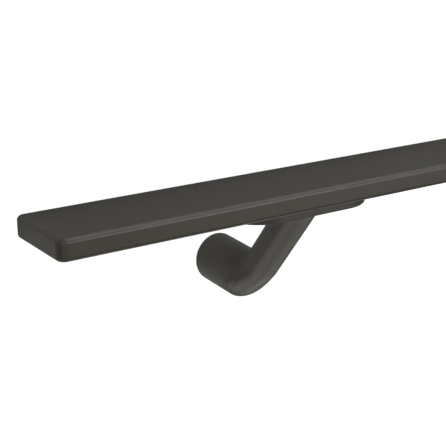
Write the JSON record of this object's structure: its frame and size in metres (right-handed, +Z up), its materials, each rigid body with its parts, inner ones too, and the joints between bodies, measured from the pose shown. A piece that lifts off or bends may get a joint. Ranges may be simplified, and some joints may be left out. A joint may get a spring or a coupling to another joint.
{
  "type": "stair handrail length",
  "caption": "Flat metal handrail with rounded edges on bent round wall brackets with thin saddle plates, lying on its back.",
  "frame": {"origin": "centre of the bounding box at the floor that it lies on", "axes": "+X along the bar from its far end to its near end, +Y across it from the gripping side to the wall ends, +Z up; it lies on the bar's rear top edge and the upper rims of the two wall ends"},
  "size_m": [1.2192, 0.1392, 0.0532],
  "materials": {
    "rail_coat": "satin dark bronze powder coat",
    "bracket_coat": "satin dark bronze powder coat",
    "screw_steel": "dark coated steel"
  },
  "bodies": {
    "root": {"rail_bar": "rail_coat", "saddle_plate_near": "bracket_coat", "bracket_arm_near": "bracket_coat", "saddle_screw_near_1": "screw_steel", "saddle_screw_near_2": "screw_steel", "saddle_plate_far": "bracket_coat", "bracket_arm_far": "bracket_coat", "saddle_screw_far_1": "screw_steel", "saddle_screw_far_2": "screw_steel"}
  },
  "joints": []
}
